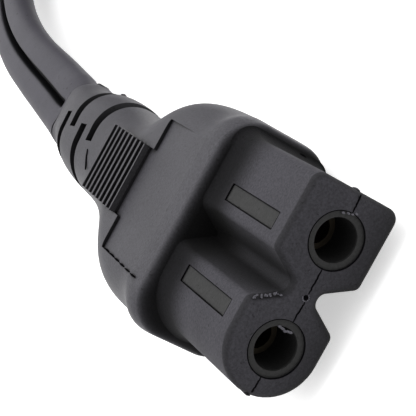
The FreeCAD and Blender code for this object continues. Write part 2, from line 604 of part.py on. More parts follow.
def contact(side, label):
    """Rolled sleeve with a narrower crimped tail, turned about its own axis."""
    body = new_body(label)
    seat_on_mating_frame(body)
    bind(body, "Placement.Base.x", f"{side} * @pin_pitch / 2")
    bore, wall, strand = size("pin_bore_radius"), size("sleeve_wall"), size("strand_radius")
    front = size("sleeve_front")
    step = front + size("sleeve_length")
    back = step + size("crimp_length")
    half = new_sketch(body, label + "_half_section", "XY_Plane")
    outer, tail = "@pin_bore_radius + @sleeve_wall", "@strand_radius + @sleeve_wall"
    step_name = "@sleeve_front + @sleeve_length"
    back_name = step_name + " + @crimp_length"
    polygon(half,
            [(bore, front), (bore + wall, front), (bore + wall, step + wall),
             (strand + wall, step + wall), (strand + wall, back), (strand, back), (strand, step),
             (bore, step)],
            [("@pin_bore_radius", "@sleeve_front"), (outer, "@sleeve_front"),
             (outer, step_name + " + @sleeve_wall"), (tail, step_name + " + @sleeve_wall"),
             (tail, back_name), ("@strand_radius", back_name), ("@strand_radius", step_name),
             ("@pin_bore_radius", step_name)])
    turned = body.newObject("PartDesign::Revolution", label + "_turned")
    turned.Profile = half
    turned.ReferenceAxis = (half, ["V_Axis"])
    turned.Angle = 360
    return body


def strand(side, label):
    """Bared strands, crimped in the contact's tail."""
    body = new_body(label)
    seat_on_mating_frame(body)
    bind(body, "Placement.Base.x", f"{side} * @pin_pitch / 2")
    section = circle_section(body, label + "_section", "@sleeve_front + @sleeve_length",
                             "@strand_radius", "0", "0", (size("strand_radius"), 0, 0))
    extrude(body, "Pad", label + "_run", section, "@crimp_length + @strand_bare", backwards=True)
    return body


def core(side, label):
    """Insulated core from its bared end to the strain relief's end, closing up to its twin."""
    body = new_body(label)
    seat_on_mating_frame(body)
    r, apart = size("core_radius"), size("pin_pitch") / 2
    spread = r + size("core_gap") / 2
    near = f"{side} * (@core_radius + @core_gap / 2)"
    bared = "@sleeve_front + @sleeve_length + @crimp_length + @strand_bare"
    stations = [(bared, f"{side} * @pin_pitch / 2", "0", side * apart, 0),
                ("@core_bend", f"{side} * @pin_pitch / 2", "0", side * apart, 0),
                ("@neck", near, "0", side * spread, 0)]
    for at, stem in (("@barrel", "barrel"), ("@relief_mid", "relief_mid"), ("@relief_tip", "relief_tip"),
                     ("@connector_length", "relief_end")):
        stations.append((at, f"{near} + @{stem}_swing", f"@{stem}_lift",
                         side * spread + size(f"{stem}_swing"), size(f"{stem}_lift")))
    sections = [circle_section(body, f"{label}_section_{index}", at, "@core_radius", aside, up, (r, x, z))
                for index, (at, aside, up, x, z) in enumerate(stations)]
    loft(body, label + "_run", sections)
    return body


def pin_passage(side, label, radius, depth):
    """Round space that a pin enters, from in front of the mating face to a depth behind it."""
    rod = doc.addObject("Part::Cylinder", label)
    bind(rod, "Radius", radius)
    bind(rod, "Height", f"{depth} + @overrun")
    rod.Placement = FreeCAD.Placement(FreeCAD.Vector(), FreeCAD.Rotation(FreeCAD.Vector(1, 0, 0), -90))
    bind(rod, "Placement.Base.x", f"{side} * @pin_pitch / 2")
    bind(rod, "Placement.Base.y", "-@connector_length / 2 - @overrun")
    bind(rod, "Placement.Base.z", "@rest_height")
    return rod


def window_opening(side, label):
    """Opening through the nose's flats in which a pad of the carrier shows."""
    block = doc.addObject("Part::Box", label)
    bind(block, "Length", "2 * @window_half_width")
    bind(block, "Width", "@window_back - @window_front")
    bind(block, "Height", "2 * (@nose_half_height + @overrun)")
    bind(block, "Placement.Base.x", f"{side} * @window_middle - @window_half_width")
    bind(block, "Placement.Base.y", "@window_front - @connector_length / 2")
    bind(block, "Placement.Base.z", "@rest_height - @nose_half_height - @overrun")
    return block


def moulded_round(label, blank, inserts):
    """Moulding that fills its blank except where its inserts sit."""
    space = doc.addObject("Part::MultiFuse", label + "_inserts")
    space.Shapes = inserts
    moulding = doc.addObject("Part::Cut", label)
    moulding.Label = label
    moulding.Base = blank
    moulding.Tool = space
    return moulding


def ring_section(sketch, clear, mark):
    """Section of the coil's bundle, or of a strap's outside that clears it by a wall."""
    wall = size("tie_wall") if clear else 0
    add = " + @tie_wall" if clear else ""
    r, w, h = size("coil_radius"), size("coil_half_width") + wall, size("coil_half_height") + wall
    oblong(sketch, f"@coil_radius + @coil_half_width{add}", f"@coil_radius - (@coil_half_width{add})",
           f"@coil_half_height{add}", f"-(@coil_half_height{add})", f"@coil_round{add}",
           (r + w, r - w, h, -h, size("coil_round") + wall), mark)


def coil_piece(label, strap):
    """The wound lead as one closed ring, or the strap that holds its turns together."""
    body = new_body(label)
    bind(body, "Placement.Base.x", "@coil_x")
    bind(body, "Placement.Base.y", "@coil_y")
    bind(body, "Placement.Base.z", "@tie_wall + @coil_half_height")
    section = new_sketch(body, label + "_section", "XZ_Plane")
    ring_section(section, False, "inner_")
    if strap:
        ring_section(section, True, "outer_")
        body.Placement.Rotation = FreeCAD.Rotation(FreeCAD.Vector(0, 0, 1), size("tie_bearing"))
    turned = body.newObject("PartDesign::Revolution", label + "_turned")
    turned.Profile = section
    turned.ReferenceAxis = (section, ["V_Axis"])
    turned.Angle = 360
    if strap:
        bind(turned, "Angle", "@tie_angle")
        turned.Midplane = True
    return body


def blade(side, label, half_name):
    """Flat blade with a bevelled tip and a hole, rooted in the plug."""
    body = new_body(label)
    seat_on_plug(body)
    bind(body, "Placement.Base.x", f"@plug_x + {side} * @blade_pitch / 2")
    half, tip = size(half_name), size("blade_tip")
    root, end = size("blade_root"), -size("blade_length")
    outline = new_sketch(body, label + "_outline", "YZ_Plane")
    polygon(outline,
            [(root, -half), (root, half), (end + tip, half), (end, half - tip), (end, tip - half),
             (end + tip, -half)],
            [("@blade_root", f"-@{half_name}"), ("@blade_root", f"@{half_name}"),
             ("@blade_tip - @blade_length", f"@{half_name}"),
             ("-@blade_length", f"@{half_name} - @blade_tip"),
             ("-@blade_length", f"@blade_tip - @{half_name}"),
             ("@blade_tip - @blade_length", f"-@{half_name}")])
    hole = FreeCAD.Vector(end + size("blade_hole_back"), 0, 0)
    index = outline.addGeometry(Part.Circle(hole, FreeCAD.Vector(0, 0, 1), size("blade_hole_radius")))
    outline.addConstraint(Sketcher.Constraint("PointOnObject", index, 3, -1))
    dimension(outline, "hole", "@blade_hole_radius", "Radius", index, size("blade_hole_radius"))
    offset_dimension(outline, "hole_place", "@blade_hole_back - @blade_length", "DistanceX", index, 3,
                     hole.x)
    extrude(body, "Pad", label + "_strip", outline, "@blade_thickness", symmetric=True)
    return body


def plug_blank():
    """Plug body and its tapered strain relief before the blades are cut out."""
    body = new_body("plug_blank")
    seat_on_plug(body)
    face = cross_section(body, "0", "plug_face", "plug_roundness")
    extrude(body, "Pad", "plug_front", face, "@plug_rim", backwards=True)
    round_edges(body, "plug_edge", "@plug_edge", lambda edge: lies_at(edge, 0.0))
    rim = cross_section(body, "@plug_rim", "plug_face", "plug_roundness")
    waist = cross_section(body, "@plug_waist", "plug_waist", "plug_roundness")
    shoulder = cross_section(body, "@plug_shoulder", "plug_shoulder", "plug_roundness")
    neck = cross_section(body, "@plug_neck", "plug_neck", "relief_roundness")
    loft(body, "plug_grip", [rim, waist, shoulder, neck])
    root = cross_section(body, "@plug_neck", "plug_neck", "relief_roundness")
    end = cross_section(body, "@plug_length", "plug_end", "relief_roundness")
    loft(body, "plug_relief", [root, end])
    return body


def route_wire(points):
    """Straight runs joined by tangent arcs, with the radius of each arc."""
    corners = [FreeCAD.Vector(*point) for point in points]
    edges, radii, start = [], [], corners[0]
    for before, corner, after in zip(corners, corners[1:], corners[2:]):
        arriving, leaving = corner - before, after - corner
        reach = ARC_SHARE * min(arriving.Length, leaving.Length)
        half_turn = arriving.getAngle(leaving) / 2
        arriving.normalize()
        leaving.normalize()
        radius = reach / math.tan(half_turn)
        inward = leaving - arriving
        inward.normalize()
        middle = corner + inward * (radius / math.cos(half_turn))
        first, last = corner - arriving * reach, corner + leaving * reach
        edges.append(Part.LineSegment(start, first).toShape())
        edges.append(Part.Arc(first, middle - inward * radius, last).toShape())
        radii.append(radius)
        start = last
    edges.append(Part.LineSegment(start, corners[-1]).toShape())
    return Part.Wire(edges), radii


def lead_run(label, points, coil):
    """Flat twin lead along a route, kept level, ending on the coil's surface."""
    wire, radii = route_wire(points)
    tall = size("lead_half_height")
    flat = size("lead_half_width") - tall
    start = FreeCAD.Vector(*points[0])

    def corner(x, z):
        return start + FreeCAD.Vector(x, 0, z)

    outline = [Part.LineSegment(corner(-flat, -tall), corner(flat, -tall)),
               Part.Arc(corner(flat, -tall), corner(flat + tall, 0), corner(flat, tall)),
               Part.LineSegment(corner(flat, tall), corner(-flat, tall)),
               Part.Arc(corner(-flat, tall), corner(-flat - tall, 0), corner(-flat, -tall))]
    section = Part.Wire([piece.toShape() for piece in outline])
    sweep = Part.BRepOffsetAPI.MakePipeShell(wire)
    sweep.setBiNormalMode(FreeCAD.Vector(0, 0, 1))
    sweep.add(section)
    sweep.build()
    sweep.makeSolid()
    run = sweep.shape()
    expected = Part.Face(section).Area * wire.Length
    print(f"{label}: {wire.Length:.1f} mm, volume {run.Volume:.0f} of {expected:.0f} mm3, arc radii",
          ", ".join(f"{radius:.0f}" for radius in radii))
    feature = doc.addObject("Part::Feature", label)
    feature.Label = label
    feature.Shape = max(run.cut(coil.Shape).Solids, key=lambda solid: solid.Volume)
    feature.Placement = FreeCAD.Placement()
    return feature


blank = overmould_blank()
carrier = contact_carrier()
SIDES = ((1, "square"), (-1, "round"))
contacts = [contact(side, f"contact_{name}") for side, name in SIDES]
strands = [strand(side, f"strand_{name}") for side, name in SIDES]
cores = [core(side, f"core_{name}") for side, name in SIDES]
spaces = [pin_passage(side, f"pin_passage_{name}", "@entry_radius", "@carrier_back")
          for side, name in SIDES]
spaces += [pin_passage(side, f"ring_space_{name}", "@ring_radius", "@ring_recess") for side, name in SIDES]
spaces += [window_opening(side, f"window_opening_{name}") for side, name in SIDES]
overmould = moulded_round("connector_overmould", blank, [carrier] + spaces + contacts + strands + cores)
coil = coil_piece("cord_coil", strap=False)
tie = coil_piece("coil_tie", strap=True)
blades = [blade(1, "blade_narrow", "narrow_blade_half"), blade(-1, "blade_wide", "wide_blade_half")]
plug = moulded_round("plug_overmould", plug_blank(), blades)
doc.recompute()

outer_turn = size("coil_radius") + size("coil_half_width") - size("lead_half_height")
low_turn = size("tie_wall") + size("lead_half_width")
high_turn = size("tie_wall") + 2 * size("coil_half_height") - size("lead_half_width")
relief_end = (size("relief_end_swing"), size("connector_length") / 2,
              size("rest_height") + size("relief_end_lift"))
past_side = math.radians(size("coil_entry"))
coil_start = (size("coil_x") - outer_turn * math.cos(past_side),
              size("coil_y") + outer_turn * math.sin(past_side), low_turn)
coil_end = (size("coil_x") + outer_turn, size("coil_y"), high_turn)
plug_entry = (size("plug_x"), size("plug_entry_y"), size("plug_face_half_height"))
cord = lead_run("cord", [relief_end] + ROUTE_TO_COIL + [coil_start], coil)
tail = lead_run("cord_tail", [plug_entry] + ROUTE_TO_PLUG + [coil_end], coil)
doc.recompute()

pieces = [overmould, carrier] + contacts + strands + cores + [cord, coil, tie, tail, plug] + blades
for item in doc.Objects:
    if "Invalid" in item.State or "Error" in item.State:
        raise RuntimeError(f"{item.Label} could not be built: {item.State}")
for piece in pieces:
    if piece.Shape.isNull() or not piece.Shape.isValid() or len(piece.Shape.Solids) != 1:
        raise RuntimeError(f"{piece.Label} is not one sound solid")
os.makedirs("parts", exist_ok=True)
for piece in pieces:
    piece.Shape.exportStep(f"parts/{piece.Label}.step")
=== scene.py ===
"""Looks of a figure-eight power connector on its coiled lead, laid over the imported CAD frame."""
import math
import random

import bmesh
import bpy
import numpy as np
from mathutils import Matrix, Vector


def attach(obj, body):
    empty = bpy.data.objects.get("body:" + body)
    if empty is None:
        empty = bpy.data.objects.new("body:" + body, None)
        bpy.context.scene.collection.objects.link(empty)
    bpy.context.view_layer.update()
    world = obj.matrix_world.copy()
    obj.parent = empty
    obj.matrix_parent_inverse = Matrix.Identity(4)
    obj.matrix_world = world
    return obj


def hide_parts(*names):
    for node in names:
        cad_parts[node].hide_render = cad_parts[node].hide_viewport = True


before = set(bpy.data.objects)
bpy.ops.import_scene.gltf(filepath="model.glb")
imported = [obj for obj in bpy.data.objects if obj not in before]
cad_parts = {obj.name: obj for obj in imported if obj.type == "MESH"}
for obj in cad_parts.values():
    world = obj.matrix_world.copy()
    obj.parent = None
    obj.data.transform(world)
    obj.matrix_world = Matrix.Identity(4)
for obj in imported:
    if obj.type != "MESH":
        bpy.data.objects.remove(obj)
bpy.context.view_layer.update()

# Lengths are in millimetres of the row frame and angles in degrees, unless a comment differs.
MM = 0.001
FACE_Y = -28.0
PARTING_Z = 5.05
SHARP_ANGLE = 38

# Camera, fitted to the photograph: its place, and its axes as unit vectors.
CAMERA_AT = (6.7424, -110.9558, 55.4142)
CAMERA_RIGHT = (0.481893, -0.362819, -0.797557)
CAMERA_UP = (0.874831, 0.250194, 0.414765)
CAMERA_BACK = (0.049060, -0.897639, 0.437993)
CAMERA_LENS = 121.15
CAMERA_NEAR = 5.0
SENSOR = 36.0


def smooth_step(low, high, value):
    """Nought below low, one above high, eased between."""
    t = np.clip((np.asarray(value, float) - low) / (high - low), 0, 1)
    return t * t * (3 - 2 * t)


def add_piece(name, points, faces, material, stands_for=()):
    """A smooth mesh on the root body."""
    mesh = bpy.data.meshes.new(name)
    mesh.from_pydata([tuple(p) for p in np.asarray(points, float) * MM], [], faces)
    mesh.validate()
    mesh.polygons.foreach_set("use_smooth", [True] * len(mesh.polygons))
    mesh.set_sharp_from_angle(angle=math.radians(SHARP_ANGLE))
    mesh.materials.append(material)
    piece = bpy.data.objects.new(name, mesh)
    bpy.context.scene.collection.objects.link(piece)
    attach(piece, "root")
    if stands_for:
        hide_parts(*stands_for)
    return piece


# Materials.

class Nodes:
    """A node tree, built up by short calls."""

    def __init__(self, tree):
        self.tree = tree

    def add(self, kind, **values):
        node = self.tree.nodes.new(kind)
        for name, value in values.items():
            setattr(node, name, value)
        return node

    def join(self, source, target):
        self.tree.links.new(source, target)

    def math(self, operation, first, second):
        """One operation on two sources, or on a source and a number."""
        node = self.add("ShaderNodeMath", operation=operation)
        self.join(first, node.inputs[0])
        if isinstance(second, float):
            node.inputs[1].default_value = second
        else:
            self.join(second, node.inputs[1])
        return node.outputs["Value"]

    def ease(self, source, start, end, before, past):
        """One value before the start, eased to another past the end."""
        node = self.add("ShaderNodeMapRange", interpolation_type="SMOOTHSTEP")
        node.inputs["From Min"].default_value = start
        node.inputs["From Max"].default_value = end
        node.inputs["To Min"].default_value = before
        node.inputs["To Max"].default_value = past
        self.join(source, node.inputs["Value"])
        return node.outputs["Result"]


class Shader(Nodes):
    """A material with one principled shader."""

    def __init__(self, name):
        self.material = bpy.data.materials.new(name)
        self.material.use_nodes = True
        super().__init__(self.material.node_tree)
        self.shader = self.tree.nodes["Principled BSDF"]
        self.place = self.add("ShaderNodeTexCoord").outputs["Object"]

    def noise(self, grain_mm, detail=2.0, rough=0.5):
        """Noise whose grains are about grain_mm wide."""
        node = self.add("ShaderNodeTexNoise")
        node.inputs["Scale"].default_value = 1 / (grain_mm * MM)
        node.inputs["Detail"].default_value = detail
        node.inputs["Roughness"].default_value = rough
        self.join(self.place, node.inputs["Vector"])
        return node.outputs["Fac"]

    def ramp(self, source, stops):
        """Colours along a ramp: stops are (place, colour)."""
        node = self.add("ShaderNodeValToRGB")
        elements = node.color_ramp.elements
        while len(elements) < len(stops):
            elements.new(0.5)
        for element, (place, colour) in zip(elements, stops):
            element.position = place
            element.color = (*colour, 1)
        self.join(source, node.inputs["Fac"])
        return node.outputs["Color"]

    def greys(self, source, stops, violet=0.0):
        """Greys along a ramp: stops are (place, value)."""
        return self.ramp(source, [(place, grey(value, violet)) for place, value in stops])

    def blend(self, first, second, amount, mode="MIX"):
        """Two colours mixed or multiplied, by a number or by a source."""
        node = self.add("ShaderNodeMix", data_type="RGBA", blend_type=mode)
        if isinstance(amount, float):
            node.inputs["Factor"].default_value = amount
        else:
            self.join(amount, node.inputs["Factor"])
        self.join(first, node.inputs["A"])
        self.join(second, node.inputs["B"])
        return node.outputs["Result"]

    def along(self, axis, start_mm, end_mm, past):
        """One before the start on an axis of the row frame, eased to another value past the end."""
        split = self.add("ShaderNodeSeparateXYZ")
        self.join(self.place, split.inputs["Vector"])
        return self.ease(split.outputs[axis], start_mm * MM, end_mm * MM, 1.0, past)

    def crevice_shade(self, reach_mm, stops):
        """Painted shade: greys along a ramp from closed-in corners to open surface, by ambient
        occlusion.
        """
        node = self.add("ShaderNodeAmbientOcclusion", samples=CREVICE_SAMPLES)
        node.inputs["Distance"].default_value = reach_mm * MM
        return self.greys(node.outputs["AO"], stops)

    def bump(self, height, strength, depth_mm):
        node = self.add("ShaderNodeBump")
        node.inputs["Strength"].default_value = strength
        node.inputs["Distance"].default_value = depth_mm * MM
        self.join(height, node.inputs["Height"])
        self.join(node.outputs["Normal"], self.shader.inputs["Normal"])


LESS_GREEN = 0.25
GLOSS = 0.35
CREVICE_SAMPLES = 8
# Ramps: places, or (place, grey) stops.
MOTTLE_LOW, MOTTLE_HIGH = 0.3, 0.7
CLOUD_TONES = [(MOTTLE_LOW, 0.88), (MOTTLE_HIGH, 1.0)]
SPECK_TONES = [(0.25, 0.55), (0.31, 1.0)]
# Painted shade from ambient occlusion: dark in closed-in corners, full tone on open surface.
CREVICE_SHADE_TONES = [(0.28, 0.04), (0.66, 0.25), (0.93, 1.0)]
# Grains: the clouds' in millimetres, the specks' and the surface's as a share of the mottle's.
CLOUD_GRAIN = 4.0
SPECK_SHARE = 1.7
MOTTLE_DETAIL, MOTTLE_ROUGH = 3.0, 0.6
SPECK_DETAIL = 1.0
SURFACE_SHARE = 0.8
SURFACE_DEPTH = 0.05
STREAK_GRAIN = 0.6
STREAK_DETAIL = 3.0
STREAK_TONE = 0.8
METAL_GRAIN = 0.3
METAL_BUMP = 0.1
METAL_DEPTH = 0.02


def grey(value, violet=0.0):
    """A grey, or one with a share of violet."""
    return (value, value * (1 - LESS_GREEN * violet), value * (1 + violet))


def vinyl(name, base, grain_mm, contrast, rough, bump, gloss=GLOSS, tint=0.14, crevice_shade_mm=0.0,
          zones=()):
    """Matte vinyl: a fine mottled grey with sparse darker specks and a grained surface.

    Corners closed in within the given reach in millimetres get painted shade, by ambient
    occlusion. A zone is (axis, start, end, tone, rough): past the end both are multiplied by
    these factors, on top of the zones before it; the tone factors paint light and shade.
    """
    s = Shader(name)
    mottle = [(MOTTLE_LOW, base * (1 - contrast)), (MOTTLE_HIGH, base * (1 + contrast))]
    tone = s.greys(s.noise(grain_mm, MOTTLE_DETAIL, MOTTLE_ROUGH), mottle, tint)
    patterns = [s.greys(s.noise(CLOUD_GRAIN), CLOUD_TONES),
                s.greys(s.noise(grain_mm * SPECK_SHARE, SPECK_DETAIL), SPECK_TONES)]
    # Painted shade in closed-in corners, by ambient occlusion.
    if crevice_shade_mm:
        patterns.append(s.crevice_shade(crevice_shade_mm, CREVICE_SHADE_TONES))
    for pattern in patterns:
        tone = s.blend(tone, pattern, 1.0, "MULTIPLY")
    s.shader.inputs["Specular IOR Level"].default_value = gloss
    s.shader.inputs["Roughness"].default_value = rough
    roughness = rough
    for axis, start, end, tone_factor, rough_factor in zones:
        tone = s.blend(tone, s.along(axis, start, end, tone_factor), 1.0, "MULTIPLY")
        roughness = s.math("MULTIPLY", s.along(axis, start, end, rough_factor), roughness)
    if zones:
        s.join(roughness, s.shader.inputs["Roughness"])
    s.join(tone, s.shader.inputs["Base Color"])
    s.bump(s.noise(grain_mm * SURFACE_SHARE), bump, SURFACE_DEPTH)
    return s.material


def metal(name, colour, rough):
    """Rolled or stamped metal with faint streaks."""
    s = Shader(name)
    dark = tuple(c * STREAK_TONE for c in colour)
    streaks = s.noise(STREAK_GRAIN, STREAK_DETAIL)
    s.join(s.ramp(streaks, [(MOTTLE_LOW, dark), (MOTTLE_HIGH, colour)]),
           s.shader.inputs["Base Color"])
    s.shader.inputs["Metallic"].default_value = 1.0
    s.shader.inputs["Roughness"].default_value = rough
    s.bump(s.noise(METAL_GRAIN), METAL_BUMP, METAL_DEPTH)
    return s.material


# Painted light and shade along the nose, as in the photograph: painted shade, dark and dull at
# its root; painted light towards its front; painted shade round the edge of the mating face; and
# painted light again on that face.
NOSE_ROOT_SHADE = ("Y", FACE_Y + 13.9, FACE_Y + 13.0, 0.15, 2.0)
NOSE_FRONT_LIGHT = ("Y", FACE_Y + 12.0, FACE_Y + 7.4, 6.6, 0.8)
FACE_EDGE_SHADE = ("Y", FACE_Y + 0.85, FACE_Y + 0.6, 0.42, 1.0)
MATING_FACE_LIGHT = ("Y", FACE_Y + 0.25, FACE_Y + 0.02, 1.9, 1.0)
# The carrier has painted shade, darker below its windows, and painted light, lighter on its rings.
CARRIER_INSIDE_SHADE = ("Z", PARTING_Z + 3.5, PARTING_Z + 3.2, 0.32, 1.5)
CARRIER_RINGS_LIGHT = ("Y", FACE_Y + 0.5, FACE_Y + 0.2, 2.5, 0.7)

# Painted shade in its closed-in corners, and painted light and shade along the nose.
MOULDING = vinyl("moulding_vinyl", base=0.056, grain_mm=0.18, contrast=0.3, rough=0.5, bump=0.5,
                 gloss=0.27, crevice_shade_mm=6.0,
                 zones=(NOSE_ROOT_SHADE, NOSE_FRONT_LIGHT, FACE_EDGE_SHADE, MATING_FACE_LIGHT))
PLUG_VINYL = vinyl("plug_vinyl", base=0.05, grain_mm=0.18, contrast=0.3, rough=0.5, bump=0.5)
# Painted shade in the lead's groove and other closed-in corners.
LEAD = vinyl("lead_vinyl", base=0.08, grain_mm=0.3, contrast=0.06, rough=0.5, bump=0.08,
             gloss=0.1, crevice_shade_mm=2.0)
# Painted shade inside the holes, and painted light on the rings at the mating face.
CARRIER = vinyl("carrier_plastic", base=0.035, grain_mm=0.2, contrast=0.2, rough=0.6, bump=0.3,
                gloss=0.2, tint=0.0, zones=(CARRIER_INSIDE_SHADE, CARRIER_RINGS_LIGHT))
STRAP = vinyl("strap_plastic", base=0.04, grain_mm=0.5, contrast=0.2, rough=0.6, bump=0.4)
# Near black: painted shadow in fine grooves, gaps, steps and pits.
SEAM_SHADOW = vinyl("seam_shadow", base=0.004, grain_mm=0.2, contrast=0.3, rough=0.9, bump=0.1, gloss=0.0)
FLASH = vinyl("pale_flash", base=0.11, grain_mm=0.1, contrast=0.5, rough=0.6, bump=0.3)
# The contacts are dull, and dark with painted shade, because the photograph shows their holes
# black.
BRASS_IN_SHADE = metal("contact_brass", (0.07, 0.06, 0.045), 0.6)
COPPER = metal("strand_copper", (0.72, 0.42, 0.28), 0.4)
BLADE = metal("blade_brass", (0.74, 0.62, 0.36), 0.3)

NODE_MATERIALS = {
    "connector_overmould": MOULDING, "plug_overmould": PLUG_VINYL, "contact_carrier": CARRIER,
    "contact_square": BRASS_IN_SHADE, "contact_round": BRASS_IN_SHADE,
    "strand_square": COPPER, "strand_round": COPPER, "core_square": LEAD, "core_round": LEAD,
    "cord": LEAD, "cord_coil": LEAD, "cord_tail": LEAD, "coil_tie": STRAP,
    "blade_narrow": BLADE, "blade_wide": BLADE,
}
for node_name, material in NODE_MATERIALS.items():
    node_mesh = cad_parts[node_name].data
    node_mesh.materials.clear()
    node_mesh.materials.append(material)
    node_mesh.polygons.foreach_set("use_smooth", [True] * len(node_mesh.polygons))


# Flat twin lead: two lobes, and a groove that starts bluntly behind the relief.
LEAD_HALF_WIDTH = 3.5
LOBE_RADIUS = 1.8
LOBE_POINTS = 17
GROOVE_SIDE = [(0.26, 0.2), (0.38, 1.45), (0.46, 1.66), (0.62, 1.76), (0.9, 1.79), (1.4, 1.8)]
BLUNT_LENGTH = 0.6
BLUNT_FADE = 0.4
# Near the relief it swells to the relief's end and lies a little to one side: (runs, values).
SHIFT = ((0, 3, 12, 24, 40), (0.0, 0.3, 0.3, 0.1, 0.0))
GROOVE_SHIFT = ((0, 3), (0.45, 0.0))
SWELL_WIDE = ((0, 3, 8, 20), (3.6, 3.75, 3.7, 3.5))
SWELL_THICK = ((0, 2, 7), (2.0, 1.97, 1.8))
FINE_RUN = 9.0
FINE_STEP = 0.25
# It turns on edge for the coil: runs from the relief, and runs left to the plug.
TWIST = (52.0, 100.0)
UNTWIST = (2.0, 45.0)

RELIEF_END = (1.3, 28.0, 5.95)
ROUTE_TO_COIL = [(2.3, 37.0, 6.35), (3.4, 47.5, 6.45), (4.8, 58.5, 6.1), (7.1, 70.0, 5.4),
                 (10.6, 81.0, 4.7), (14.3, 91.7, 4.4)]
ROUTE_TO_PLUG = [(95.7, 82.0, 12.05), (95.4, 71.5, 10.8), (94.3, 62.0, 8.8), (92.9, 53.5, 7.0)]
PLUG_ENTRY = (92.0, 46.0, 6.2)
SPLINE_ORDER = 3
SPLINE_STEPS = 8

# Coil: two layers of turns, wound inwards below and outwards above.
COIL_CENTRE = (56.0, 92.0)
COIL_OUTER = 39.5
COIL_ENTRY = 15.0
COIL_HALF_TURNS = 17
COIL_PITCH = 3.75
COIL_POINTS = 16
COIL_LOW = 4.4
COIL_HIGH = 12.2
LAYER_STEP_TURNS = 0.5


def coil_points():
    """Turns of the lead: inwards on the lower layer, then outwards on the upper one."""
    start = math.pi - math.radians(COIL_ENTRY)
    turns = COIL_HALF_TURNS / 2 - COIL_ENTRY / 360
    count = round(turns * COIL_POINTS)
    points = []
    for i in range(count + 1):
        turn = turns * i / count
        angle = start - 2 * math.pi * turn
        radius = COIL_OUTER - COIL_PITCH * min(turn, turns - turn)
        rise = float(smooth_step(turns / 2 - LAYER_STEP_TURNS, turns / 2 + LAYER_STEP_TURNS, turn))
        points.append((COIL_CENTRE[0] + radius * math.cos(angle),
                       COIL_CENTRE[1] + radius * math.sin(angle),
                       COIL_LOW + (COIL_HIGH - COIL_LOW) * rise))
    return points


def spline_path(controls):
    """Points along the spline that has these control points."""
    curve = bpy.data.curves.new("lead_line", "CURVE")
    curve.dimensions = "3D"
    spline = curve.splines.new("NURBS")
    spline.points.add(len(controls) - 1)
    for point, place in zip(spline.points, controls):
        point.co = (*(c * MM for c in place), 1)
    spline.order_u = SPLINE_ORDER
    spline.use_endpoint_u = True
    spline.resolution_u = SPLINE_STEPS
    holder = bpy.data.objects.new("lead_line", curve)
    bpy.context.scene.collection.objects.link(holder)
    line = bpy.data.meshes.new_from_object(holder)
    path = np.array([v.co for v in line.vertices]) / MM
    bpy.data.objects.remove(holder)
    bpy.data.curves.remove(curve)
    bpy.data.meshes.remove(line)
    return path


def lead_outline(groove, groove_at):
    """Section of the lead: two lobes and a groove, of a given share and place, between them."""
    reach = LEAD_HALF_WIDTH - LOBE_RADIUS
    inner = [(x, groove * z + (1 - groove) * LOBE_RADIUS) for x, z in GROOVE_SIDE]
    outer = [(reach + LOBE_RADIUS * math.cos(angle), LOBE_RADIUS * math.sin(angle))
             for angle in np.linspace(math.pi / 2, -math.pi / 2, LOBE_POINTS)]
    half = inner + outer + [(x, -z) for x, z in reversed(inner)]
    outline = half + [(-x, -z) for x, z in half]
    return [(x + groove_at if abs(x) < reach else x, z) for x, z in outline]


def tube_faces(rings, around):
    """Quads between rings of points, and one face on each end."""
    faces = []
    for i in range(rings - 1):
        for j in range(around):
            k = (j + 1) % around
            faces.append((i * around + j, i * around + k,
                          (i + 1) * around + k, (i + 1) * around + j))
    faces.append(tuple(range(around - 1, -1, -1)))
    faces.append(tuple(range((rings - 1) * around, rings * around)))
    return faces


def build_lead():
    """The lead from the strain relief through the coil to the plug, as one tube."""
    path = spline_path([RELIEF_END] + ROUTE_TO_COIL + coil_points() + ROUTE_TO_PLUG + [PLUG_ENTRY])
    steps = np.linalg.norm(np.diff(path, axis=0), axis=1)
    coarse = np.concatenate([[0], np.cumsum(steps)])
    run = np.concatenate([np.arange(0, FINE_RUN, FINE_STEP), coarse[coarse >= FINE_RUN]])
    path = np.column_stack([np.interp(run, coarse, path[:, axis]) for axis in range(3)])
    path[:, 0] += np.interp(run, *SHIFT)
    tangent = np.gradient(path, axis=0)
    tangent /= np.linalg.norm(tangent, axis=1)[:, None]
    side = np.cross(tangent, (0, 0, 1.0))
    side /= np.linalg.norm(side, axis=1)[:, None]
    up = np.cross(side, tangent)
    left = run[-1] - run
    on_edge = smooth_step(*TWIST, run) * smooth_step(*UNTWIST, left) * math.pi / 2
    wider = np.interp(run, *SWELL_WIDE) / LEAD_HALF_WIDTH
    thicker = np.interp(run, *SWELL_THICK) / LOBE_RADIUS
    groove_at = np.interp(run, *GROOVE_SHIFT)
    rings = []
    for i in range(len(path)):
        groove = float(smooth_step(BLUNT_LENGTH, BLUNT_LENGTH + BLUNT_FADE, run[i]))
        wide = side[i] * math.cos(on_edge[i]) + up[i] * math.sin(on_edge[i])
        thick = up[i] * math.cos(on_edge[i]) - side[i] * math.sin(on_edge[i])
        wide *= wider[i]
        thick *= thicker[i]
        rings += [path[i] + wide * x + thick * z for x, z in lead_outline(groove, groove_at[i])]
    around = len(rings) // len(path)
    lead = add_piece("lead", rings, tube_faces(len(path), around), LEAD,
                     ("cord", "cord_coil", "cord_tail"))


# Marks of the moulding. From here on Y is counted from the mating face, Z from the parting line.
SUNK = 0.06
SAME_POINT = 0.0005
BLOB_RINGS = 7
BLOB_AROUND = 12
BLOB_UNEVEN = 0.18
TAPER_START = 0.15
TAPER_POWER = 0.4


